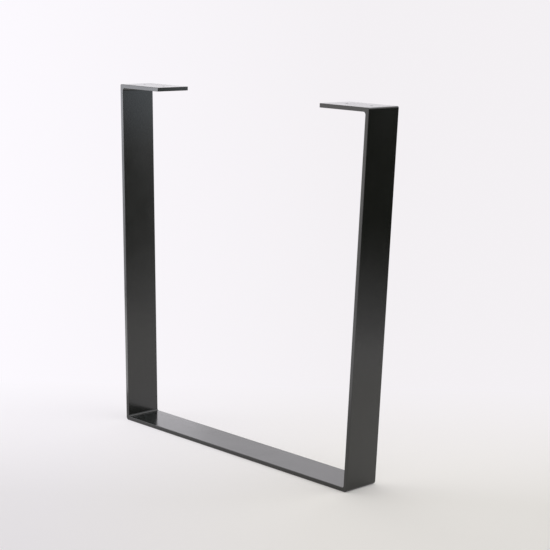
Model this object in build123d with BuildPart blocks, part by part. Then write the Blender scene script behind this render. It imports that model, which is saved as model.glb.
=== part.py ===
"""Table leg: one flat steel bar folded into an open U frame that widens a little upwards, with its two
ends turned inwards as flanges that are screwed to the underside of a table top.

Millimetres, +Z up. X runs along the frame's width and Y across the bar. The origin is on the floor, in
the middle of the bottom run.
"""
from build123d import *
import math
import os

# Overall size, over the outer faces
leg_height = 710.0
top_width = 690.0
foot_width = 640.0

# Flat bar stock
bar_width = 80.0
bar_thickness = 8.0
edge_radius = 0.8

# Inward flange, measured from the upright's outer face to the free end
flange_length = 120.0

# Bends, seen from the front
upper_outer_radius = 3.0
upper_inner_radius = 5.0
lower_outer_radius = 6.0
lower_inner_radius = 4.0

# Countersunk screw holes along the middle of each flange, entered from below
screw_hole_diameter = 5.5
screw_head_diameter = 10.5
screw_head_angle = 90.0
screw_end_inset = 30.0
screw_spacing = 60.0

# The uprights lean outwards by this angle from the vertical
lean_angle = math.atan2((top_width - foot_width) / 2, leg_height)

flange_end = top_width / 2 - flange_length
flange_underside = leg_height - bar_thickness


def outer_half_width(height):
    """Distance from the middle plane to an upright's outer face."""
    return foot_width / 2 + height * math.tan(lean_angle)


def inner_half_width(height):
    """Distance from the middle plane to an upright's inner face."""
    return outer_half_width(height) - bar_thickness / math.cos(lean_angle)


# Corners of the folded bar's outer and inner lines, as (half width, height), from foot to free end
outer_corners = [
    (foot_width / 2, 0),
    (top_width / 2, leg_height),
    (flange_end, leg_height),
]
inner_corners = [
    (inner_half_width(bar_thickness), bar_thickness),
    (inner_half_width(flange_underside), flange_underside),
    (flange_end, flange_underside),
]


def across_the_frame(corners):
    """The corners of the left half from free end to foot, then those of the right half back up."""
    left_half = [(-half_width, height) for half_width, height in reversed(corners)]
    return left_half + corners


with BuildPart() as leg_frame:
    # Side view of the folded bar
    with BuildSketch(Plane.XZ) as side_view:
        with BuildLine() as outline:
            outer_line = FilletPolyline(
                *across_the_frame(outer_corners),
                radius=[upper_outer_radius, lower_outer_radius, lower_outer_radius, upper_outer_radius],
            )
            inner_line = FilletPolyline(
                *across_the_frame(inner_corners),
                radius=[upper_inner_radius, lower_inner_radius, lower_inner_radius, upper_inner_radius],
            )
            Line(outer_line @ 0, inner_line @ 0)
            Line(outer_line @ 1, inner_line @ 1)
        make_face()
    extrude(amount=bar_width / 2, both=True)

    # Rolled long edges, and the sawn free ends deburred to match
    long_edges = leg_frame.faces().filter_by(Axis.Y).edges()
    end_faces = leg_frame.faces().filter_by(Axis.X).group_by(SortBy.AREA)[0]
    end_edges = end_faces.edges().filter_by(Axis.Y)
    fillet(long_edges + end_edges, radius=edge_radius)

    # Screw holes, with the heads' seats in the flanges' undersides
    first_screw = flange_end + screw_end_inset
    second_screw = first_screw + screw_spacing
    with Locations(Plane(origin=(0, 0, flange_underside), x_dir=(1, 0, 0), z_dir=(0, 0, -1))):
        with Locations((-second_screw, 0), (-first_screw, 0), (first_screw, 0), (second_screw, 0)):
            CounterSinkHole(
                radius=screw_hole_diameter / 2,
                counter_sink_radius=screw_head_diameter / 2,
                depth=bar_thickness,
                counter_sink_angle=screw_head_angle,
            )

leg_frame.part.label = "leg_frame"

os.makedirs("parts", exist_ok=True)
export_step(leg_frame.part, "parts/leg_frame.step")
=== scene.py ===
"""Looks of the folded flat-bar table leg: near-black satin powder coat in a pale studio.

Metres, in the CAD frame: X along the frame's width, Y across the bar, Z up from the floor. Places in
the studio are given as the camera sees them: how far to its right, how far towards it and how high,
from the middle of the leg's foot on the floor.
"""
import math
import bpy
from mathutils import Matrix, Vector

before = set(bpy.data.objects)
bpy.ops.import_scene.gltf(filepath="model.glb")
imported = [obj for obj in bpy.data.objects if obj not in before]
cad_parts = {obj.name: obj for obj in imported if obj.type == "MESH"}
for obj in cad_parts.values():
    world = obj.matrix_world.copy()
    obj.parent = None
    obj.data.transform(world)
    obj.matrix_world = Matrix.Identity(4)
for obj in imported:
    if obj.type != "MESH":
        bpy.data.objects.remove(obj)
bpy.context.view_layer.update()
scene = bpy.context.scene
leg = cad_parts["leg_frame"]

# The photograph's view: where the camera stands and how it is turned
IMAGE_WIDTH_PX = 550
FOCAL_LENGTH_PX = 1537.8
SENSOR_WIDTH_MM = 36.0
CAMERA_PLACE = Vector((2.1509, -2.0472, 0.9147))
CAMERA_AZIMUTH = math.radians(45.326)
CAMERA_PITCH = math.radians(10.625)
CAMERA_ROLL = math.radians(1.271)

# Powder coat: faint clouds between two colours and two roughnesses, under a fine orange peel
COAT_REFRACTION = 1.6
COAT_DARK_COLOUR = (0.0115, 0.0125, 0.0105, 1.0)
COAT_LIGHT_COLOUR = (0.016, 0.017, 0.015, 1.0)
COAT_ROUGHNESS = (0.15, 0.20)
CLOUD_SCALE = 22.0
CLOUD_DETAIL = 3.0
CLOUD_RANGE = (0.3, 0.7)
PEEL_SCALE = 750.0
PEEL_DETAIL = 2.0
PEEL_DEPTH = 0.00006
PEEL_STRENGTH = 0.6

# Background colour, with painted light that makes it brighter on the left. The painted light comes in and
# goes out again between bearings, in radians to the right of straight ahead, and grows with the distance
# from the camera.
BACKGROUND_COLOUR = (0.90, 0.875, 0.90, 1.0)
BACKGROUND_PAINTED_LIGHT_COLOUR = (0.98, 0.955, 1.0, 1.0)
PAINTED_LIGHT_RISES = (0.05, -0.19)
PAINTED_LIGHT_FALLS = (-0.5, -1.6)
PAINTED_LIGHT_OPENS = (1.0, 2.3)

# Paper, with a painted cool light of the window between two places on the way left. From its least share,
# the glow, the background colour takes over between two distances from the leg's middle, and between two
# places on the way back.
PAPER_COLOUR = (0.83, 0.816, 0.765, 1.0)
PAPER_PAINTED_LIGHT_COLOUR = (0.838, 0.824, 0.825, 1.0)
PAPER_PAINTED_LIGHT_LEFTWARDS = (0.15, -0.35)
PAPER_GLOW = 0.05
PAPER_FADES_AROUND = (0.75, 1.4)
PAPER_FADES_BEHIND = (0.3, -0.5)
FLOOR_REACH = 400.0

# Strength of the background colour as light on surfaces
AIR_LIGHT = 0.62

# Ways that a light can face, as right, near and up
FACES_RIGHT = (1.0, 0.0, 0.0)
FACES_LEFT = (-1.0, 0.0, 0.0)
FACES_CAMERA = (0.0, 1.0, 0.0)
FACES_UP = (0.0, 0.0, 1.0)
FACES_DOWN = (0.0, 0.0, -1.0)
WHITE = (1.0, 1.0, 1.0)

# Window on the left: the heights of its rows from the floor up, and the radiance of each row's halves,
# where 1 is white
WINDOW_RIGHT = -1.5
WINDOW_HALF_WIDTH = 0.5
WINDOW_ROWS = ((0.05, 0.25), (0.25, 0.48), (0.48, 0.80), (0.80, 1.20))
WINDOW_FAR_HALF = (1.0, 1.8, 3.1, 0.6)
WINDOW_NEAR_HALF = (0.4, 0.7, 0.5, 0.2)
WINDOW_FAR_COLOUR = (0.96, 0.98, 1.06)
WINDOW_NEAR_COLOUR = (1.03, 1.0, 0.94)

# The other soft lights: two opposite corners, as right, near and up, and the radiance
BRIGHT_FLOOR_HEIGHT = 0.004
BRIGHT_FLOOR_FAR_CORNERS = ((-1.4, -0.8, BRIGHT_FLOOR_HEIGHT), (-0.47, 0.0, BRIGHT_FLOOR_HEIGHT))
BRIGHT_FLOOR_FAR = 1.8
BRIGHT_FLOOR_NEAR_CORNERS = ((-1.45, 0.0, BRIGHT_FLOOR_HEIGHT), (-0.4, 0.7, BRIGHT_FLOOR_HEIGHT))
BRIGHT_FLOOR_NEAR = 0.6
BACK_WALL_CORNERS = ((-1.6, -2.6, 0.65), (1.4, -2.6, 1.3))
BACK_WALL = 0.35
BACK_WALL_LOW_CORNERS = ((-1.6, -2.6, 0.35), (-0.2, -2.6, 0.65))
BACK_WALL_LOW = 1.2
BACK_WALL_COLOUR = (1.0, 0.98, 1.05)
RIGHT_WALL_CORNERS = ((1.4, -0.3, 0.55), (1.4, 0.0, 1.1))
RIGHT_WALL = 0.5
RIGHT_WALL_COLOUR = (0.7, 1.0, 1.2)
CEILING_RIGHT_CORNERS = ((0.5, -0.5, 2.2), (2.4, 1.4, 2.2))
CEILING_RIGHT = 1.6
CEILING_HEIGHT = 2.3
CEILING_FAR_CORNERS = ((-1.6, -2.1, CEILING_HEIGHT), (1.6, -0.7, CEILING_HEIGHT))
CEILING_FAR = 1.0
CEILING_MIDDLE_CORNERS = ((-1.6, -0.7, CEILING_HEIGHT), (1.6, 0.5, CEILING_HEIGHT))
CEILING_MIDDLE = 0.6

# Black gauze on the right: each pair says where it starts to grow dense or thin and where that ends
GAUZE_COLOUR = (0.008, 0.010, 0.006, 1.0)
GAUZE_RIGHT = 1.25
GAUZE_FAR_EDGE = -0.42
GAUZE_NEAR_EDGE = 1.3
GAUZE_HEIGHT = 1.1
GAUZE_THICKENS_UPWARDS = (-0.16, 0.25)
GAUZE_THINS_UPWARDS = (0.48, 0.83)
GAUZE_TOP_SLOPE = 0.8
GAUZE_THICKENS_NEARER = (-0.42, 0.0)

# Directions as the camera sees them, the first two along the floor
TO_THE_RIGHT = Vector((math.cos(CAMERA_AZIMUTH), math.sin(CAMERA_AZIMUTH), 0.0))
TO_THE_CAMERA = Vector((math.sin(CAMERA_AZIMUTH), -math.cos(CAMERA_AZIMUTH), 0.0))
UP = Vector((0.0, 0.0, 1.0))


def studio_point(right, near, height):
    """A point by its distance to the camera's right, towards the camera and above the floor."""
    return TO_THE_RIGHT * right + TO_THE_CAMERA * near + UP * height


def node_tree(owner):
    """The emptied nodes of a material or world, and a short way to join two sockets."""
    owner.use_nodes = True
    tree = owner.node_tree
    tree.nodes.clear()
    return tree.nodes, tree.links.new


def map_range(nodes, join, value, from_min, from_max, to_min=0.0, to_max=1.0):
    """The value carried over from one range to another, and held at the ends."""
    ramp = nodes.new("ShaderNodeMapRange")
    ramp.inputs["From Min"].default_value = from_min
    ramp.inputs["From Max"].default_value = from_max
    ramp.inputs["To Min"].default_value = to_min
    ramp.inputs["To Max"].default_value = to_max
    join(value, ramp.inputs["Value"])
    return ramp.outputs["Result"]


def combined(nodes, join, operation, first, second):
    """Two values joined by a Math node."""
    node = nodes.new("ShaderNodeMath")
    node.operation = operation
    join(first, node.inputs[0])
    join(second, node.inputs[1])
    return node.outputs["Value"]


def colour_between(nodes, join, share, first, second):
    """The first colour where the share is 0, the second where it is 1."""
    mix = nodes.new("ShaderNodeMix")
    mix.data_type = "RGBA"
    mix.inputs["A"].default_value = first
    mix.inputs["B"].default_value = second
    join(share, mix.inputs["Factor"])
    return mix.outputs["Result"]


def shader_between(nodes, join, share, first, second):
    """The first shader where the share is 0, the second where it is 1."""
    mix = nodes.new("ShaderNodeMixShader")
    join(share, mix.inputs["Fac"])
    join(first, mix.inputs[1])
    join(second, mix.inputs[2])
    return mix.outputs["Shader"]


def noise(nodes, join, vector, scale, detail):
    """Value of a noise texture over the vector."""
    texture = nodes.new("ShaderNodeTexNoise")
    texture.inputs["Scale"].default_value = scale
    texture.inputs["Detail"].default_value = detail
    join(vector, texture.inputs["Vector"])
    return texture.outputs["Fac"]


def distance_along(nodes, join, position, direction):
    """How far the position lies along a direction."""
    product = nodes.new("ShaderNodeVectorMath")
    product.operation = "DOT_PRODUCT"
    product.inputs[1].default_value = direction
    join(position, product.inputs[0])
    return product.outputs["Value"]


def powder_coat():
    """Near-black satin powder coat: fine orange peel, faint cloudiness and slightly uneven gloss."""
    material = bpy.data.materials.new("powder_coat_finish")
    nodes, join = node_tree(material)
    output = nodes.new("ShaderNodeOutputMaterial")
    shader = nodes.new("ShaderNodeBsdfPrincipled")
    shader.inputs["IOR"].default_value = COAT_REFRACTION
    shader.inputs["Metallic"].default_value = 0.0
    join(shader.outputs["BSDF"], output.inputs["Surface"])
    place = nodes.new("ShaderNodeTexCoord").outputs["Object"]

    clouds = noise(nodes, join, place, CLOUD_SCALE, CLOUD_DETAIL)
    colour = colour_between(nodes, join, clouds, COAT_DARK_COLOUR, COAT_LIGHT_COLOUR)
    join(colour, shader.inputs["Base Color"])
    roughness = map_range(nodes, join, clouds, *CLOUD_RANGE, *COAT_ROUGHNESS)
    join(roughness, shader.inputs["Roughness"])

    peel = nodes.new("ShaderNodeBump")
    peel.inputs["Strength"].default_value = PEEL_STRENGTH
    peel.inputs["Distance"].default_value = PEEL_DEPTH
    join(noise(nodes, join, place, PEEL_SCALE, PEEL_DETAIL), peel.inputs["Height"])
    join(peel.outputs["Normal"], shader.inputs["Normal"])
    return material


def dress_the_leg():
    """Gives the CAD solid its finish."""
    finish = powder_coat()
    for material_slot in leg.material_slots:
        material_slot.material = finish


def seen_directly_or_mirrored(nodes, join):
    """1 for what the camera sees by itself, in a gloss or through glass, and 0 for light on a surface."""
    path = nodes.new("ShaderNodeLightPath")
    seen = combined(nodes, join, "MAXIMUM", path.outputs["Is Camera Ray"], path.outputs["Is Glossy Ray"])
    return combined(nodes, join, "MAXIMUM", seen, path.outputs["Is Transmission Ray"])


def background_colour(nodes, join, outlook):
    """The background colour by the way from the camera to a place, with painted light that makes it a
    little brighter on the left.
    """
    sideways = distance_along(nodes, join, outlook, TO_THE_RIGHT)
    away = distance_along(nodes, join, outlook, -TO_THE_CAMERA)
    bearing = combined(nodes, join, "ARCTAN2", sideways, away)
    rise = map_range(nodes, join, bearing, *PAINTED_LIGHT_RISES)
    fall = map_range(nodes, join, bearing, *PAINTED_LIGHT_FALLS, to_min=1.0, to_max=0.0)
    opening = map_range(nodes, join, away, *PAINTED_LIGHT_OPENS)
    side = combined(nodes, join, "MULTIPLY", rise, fall)
    # painted light: share of the brighter colour on the backdrop's left side
    painted_light_share = combined(nodes, join, "MULTIPLY", side, opening)
    return colour_between(nodes, join, painted_light_share, BACKGROUND_COLOUR, BACKGROUND_PAINTED_LIGHT_COLOUR)


def paper_shader(nodes, join, position):
    """Matt paper, with a painted cool light of the window on the left."""
    paper = nodes.new("ShaderNodeBsdfDiffuse")
    sideways = distance_along(nodes, join, position, TO_THE_RIGHT)
    # painted light: a cool, slightly brighter cast of the window's light on the paper's left
    painted_cool_light = map_range(nodes, join, sideways, *PAPER_PAINTED_LIGHT_LEFTWARDS)
    join(colour_between(nodes, join, painted_cool_light, PAPER_COLOUR, PAPER_PAINTED_LIGHT_COLOUR), paper.inputs["Color"])
    return paper.outputs["BSDF"]


def far_off_shader(nodes, join, position):
    """The background colour, with its painted light on the left."""
    outlook = nodes.new("ShaderNodeVectorMath")
    outlook.operation = "SUBTRACT"
    outlook.inputs[1].default_value = CAMERA_PLACE
    join(position, outlook.inputs[0])
    far_off = nodes.new("ShaderNodeEmission")
    join(background_colour(nodes, join, outlook.outputs["Vector"]), far_off.inputs["Color"])
    return far_off.outputs["Emission"]


def share_of_background(nodes, join, position):
    """How much of the floor's colour is the background's: more around the leg and behind it."""
    distance = nodes.new("ShaderNodeVectorMath")
    distance.operation = "LENGTH"
    join(position, distance.inputs[0])
    nearness = distance_along(nodes, join, position, TO_THE_CAMERA)
    around = map_range(nodes, join, distance.outputs["Value"], *PAPER_FADES_AROUND, to_min=PAPER_GLOW)
    behind = map_range(nodes, join, nearness, *PAPER_FADES_BEHIND, to_min=PAPER_GLOW)
    return combined(nodes, join, "MAXIMUM", around, behind)


def floor_finish():
    """Pale paper near the leg, which keeps its shadow, and the background colour, with its painted light
    on the left, further off.
    """
    material = bpy.data.materials.new("studio_paper")
    nodes, join = node_tree(material)
    output = nodes.new("ShaderNodeOutputMaterial")
    position = nodes.new("ShaderNodeNewGeometry").outputs["Position"]
    paper = paper_shader(nodes, join, position)
    far_off = far_off_shader(nodes, join, position)
    share = share_of_background(nodes, join, position)
    seen_share = combined(nodes, join, "MULTIPLY", share, seen_directly_or_mirrored(nodes, join))
    join(shader_between(nodes, join, seen_share, paper, far_off), output.inputs["Surface"])
    return material


def flat_panel(name, corners, material):
    """One four-cornered face as a stage object."""
    mesh = bpy.data.meshes.new(name)
    mesh.from_pydata(corners, [], [(0, 1, 2, 3)])
    mesh.materials.append(material)
    panel = bpy.data.objects.new(name, mesh)
    scene.collection.objects.link(panel)
    return panel


def make_floor():
    """A floor that reaches beyond the picture's top edge."""
    reach = FLOOR_REACH
    flat_panel(
        "studio_floor",
        [(-reach, -reach, 0.0), (reach, -reach, 0.0), (reach, reach, 0.0), (-reach, reach, 0.0)],
        floor_finish(),
    )


def gauze_finish():
    """Black gauze that grows thin towards its lower, upper and far edges."""
    material = bpy.data.materials.new("black_gauze")
    nodes, join = node_tree(material)
    output = nodes.new("ShaderNodeOutputMaterial")
    thread = nodes.new("ShaderNodeBsdfDiffuse")
    thread.inputs["Color"].default_value = GAUZE_COLOUR
    gaps = nodes.new("ShaderNodeBsdfTransparent")
    position = nodes.new("ShaderNodeNewGeometry").outputs["Position"]
    height = distance_along(nodes, join, position, UP)
    nearness = distance_along(nodes, join, position, TO_THE_CAMERA)
    slanted = distance_along(nodes, join, position, UP - TO_THE_CAMERA * GAUZE_TOP_SLOPE)
    above = map_range(nodes, join, height, *GAUZE_THICKENS_UPWARDS)
    below = map_range(nodes, join, slanted, *GAUZE_THINS_UPWARDS, to_min=1.0, to_max=0.0)
    beside = map_range(nodes, join, nearness, *GAUZE_THICKENS_NEARER)
    band = combined(nodes, join, "MULTIPLY", above, below)
    dense = combined(nodes, join, "MULTIPLY", band, beside)
    cloth = shader_between(nodes, join, dense, gaps.outputs["BSDF"], thread.outputs["BSDF"])
    join(cloth, output.inputs["Surface"])
    return material


def make_dark_gauze():
    """A hanging cloth beside the set, which the faces on the camera's right mirror."""
    gauze = flat_panel(
        "dark_gauze",
        [
            studio_point(GAUZE_RIGHT, GAUZE_FAR_EDGE, 0.0),
            studio_point(GAUZE_RIGHT, GAUZE_NEAR_EDGE, 0.0),
            studio_point(GAUZE_RIGHT, GAUZE_NEAR_EDGE, GAUZE_HEIGHT),
            studio_point(GAUZE_RIGHT, GAUZE_FAR_EDGE, GAUZE_HEIGHT),
        ],
        gauze_finish(),
    )
    gauze.visible_camera = False


def make_world():
    """Pale air: the background colour as seen, with its painted light on the left, and a dimmer light of
    the same colour.
    """
    world = bpy.data.worlds.new("studio_air")
    scene.world = world
    nodes, join = node_tree(world)
    output = nodes.new("ShaderNodeOutputWorld")
    background = nodes.new("ShaderNodeBackground")
    outlook = nodes.new("ShaderNodeVectorMath")
    outlook.operation = "SCALE"
    outlook.inputs["Scale"].default_value = FLOOR_REACH
    join(nodes.new("ShaderNodeTexCoord").outputs["Generated"], outlook.inputs[0])
    join(background_colour(nodes, join, outlook.outputs["Vector"]), background.inputs["Color"])
    seen = seen_directly_or_mirrored(nodes, join)
    join(map_range(nodes, join, seen, 0.0, 1.0, to_min=AIR_LIGHT), background.inputs["Strength"])
    join(background.outputs["Background"], output.inputs["Surface"])


def soft_panel(name, corners, faces, radiance, colour=WHITE):
    """A soft light over the rectangle between two opposite corners, which shines the way it faces."""
    lies_level = faces in (FACES_UP, FACES_DOWN)
    back = -studio_point(*faces)
    across = TO_THE_RIGHT if lies_level else UP.cross(back)
    along = back.cross(across)
    start = studio_point(*corners[0])
    end = studio_point(*corners[1])
    light = bpy.data.lights.new(name, "AREA")
    light.shape = "RECTANGLE"
    light.size = abs((end - start).dot(across))
    light.size_y = abs((end - start).dot(along))
    light.energy = radiance * math.pi * light.size * light.size_y
    light.color = colour
    lamp = bpy.data.objects.new(name, light)
    scene.collection.objects.link(lamp)
    turn = Matrix((across, along, back)).transposed()
    lamp.matrix_world = Matrix.Translation((start + end) / 2) @ turn.to_4x4()
    lamp.visible_camera = False


def make_window():
    """Rows of soft light on the camera's left, each in a far and a near half."""
    for row, (low, high) in enumerate(WINDOW_ROWS):
        middle = (WINDOW_RIGHT, 0.0, high)
        far_half = ((WINDOW_RIGHT, -WINDOW_HALF_WIDTH, low), middle)
        near_half = ((WINDOW_RIGHT, WINDOW_HALF_WIDTH, low), middle)
        far_radiance = WINDOW_FAR_HALF[row]
        near_radiance = WINDOW_NEAR_HALF[row]
        soft_panel(f"window_far_{row}", far_half, FACES_RIGHT, far_radiance, WINDOW_FAR_COLOUR)
        soft_panel(f"window_near_{row}", near_half, FACES_RIGHT, near_radiance, WINDOW_NEAR_COLOUR)


def make_lights():
    """The window, with bright floor under it, two dim walls and a ceiling in three parts."""
    make_window()
    soft_panel("bright_floor_far", BRIGHT_FLOOR_FAR_CORNERS, FACES_UP, BRIGHT_FLOOR_FAR)
    soft_panel("bright_floor_near", BRIGHT_FLOOR_NEAR_CORNERS, FACES_UP, BRIGHT_FLOOR_NEAR)
    soft_panel("back_wall", BACK_WALL_CORNERS, FACES_CAMERA, BACK_WALL, BACK_WALL_COLOUR)
    soft_panel("back_wall_low", BACK_WALL_LOW_CORNERS, FACES_CAMERA, BACK_WALL_LOW, BACK_WALL_COLOUR)
    soft_panel("right_wall", RIGHT_WALL_CORNERS, FACES_LEFT, RIGHT_WALL, RIGHT_WALL_COLOUR)
    soft_panel("ceiling_right", CEILING_RIGHT_CORNERS, FACES_DOWN, CEILING_RIGHT)
    soft_panel("ceiling_far", CEILING_FAR_CORNERS, FACES_DOWN, CEILING_FAR)
    soft_panel("ceiling_middle", CEILING_MIDDLE_CORNERS, FACES_DOWN, CEILING_MIDDLE)


def make_camera():
    """The photograph's camera: back is the way from the leg to the camera."""
    camera_data = bpy.data.cameras.new("photo_camera")
    camera_data.sensor_width = SENSOR_WIDTH_MM
    camera_data.lens = FOCAL_LENGTH_PX * SENSOR_WIDTH_MM / IMAGE_WIDTH_PX
    camera = bpy.data.objects.new("photo_camera", camera_data)
    scene.collection.objects.link(camera)
    back = TO_THE_CAMERA * math.cos(CAMERA_PITCH) + UP * math.sin(CAMERA_PITCH)
    level_up = back.cross(TO_THE_RIGHT)
    right = TO_THE_RIGHT * math.cos(CAMERA_ROLL) + level_up * math.sin(CAMERA_ROLL)
    up = level_up * math.cos(CAMERA_ROLL) - TO_THE_RIGHT * math.sin(CAMERA_ROLL)
    turn = Matrix((right, up, back)).transposed()
    camera.matrix_world = Matrix.Translation(CAMERA_PLACE) @ turn.to_4x4()
    scene.camera = camera


dress_the_leg()
make_floor()
make_dark_gauze()
make_world()
make_lights()
make_camera()
scene.view_settings.view_transform = "Standard"
